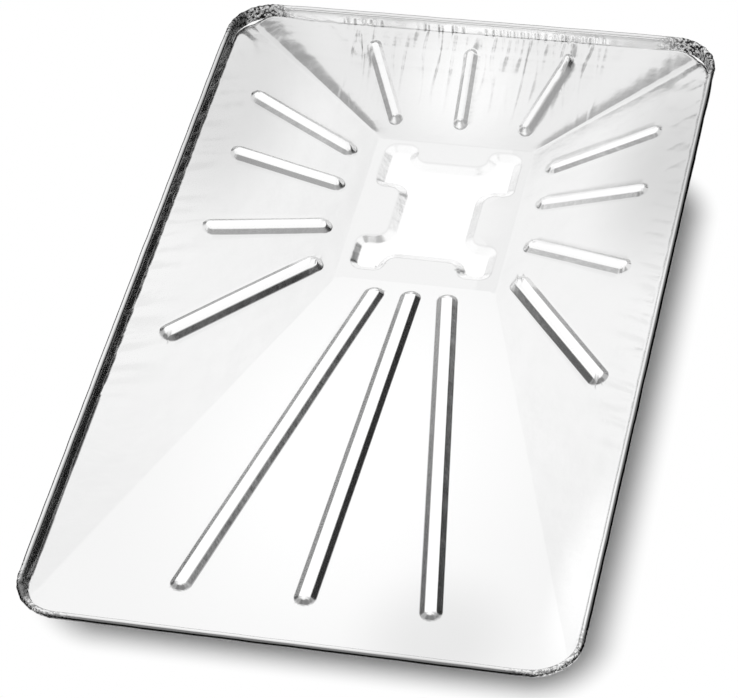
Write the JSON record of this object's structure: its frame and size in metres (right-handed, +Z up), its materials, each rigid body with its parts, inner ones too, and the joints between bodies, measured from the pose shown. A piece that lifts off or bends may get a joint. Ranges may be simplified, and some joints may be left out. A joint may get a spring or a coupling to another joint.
{
  "type": "foil drip pan",
  "caption": "Shallow rectangular foil drip pan with a rolled rim, slopes with pressed ribs and a small lobed well near the back for a grill or oven.",
  "frame": {"origin": "underneath the middle of the rim's rectangle, level with the underside of the well", "axes": "+Z up with the rim level; +Y runs along the length to the back rim, which is the end nearer the well; +X runs across the width"},
  "size_m": [0.3912, 0.6392, 0.058],
  "materials": {
    "foil": "bright pressed foil, softly rumpled, with fine crinkles near the rim"
  },
  "bodies": {
    "root": {"foil_pan": "foil"}
  },
  "joints": []
}
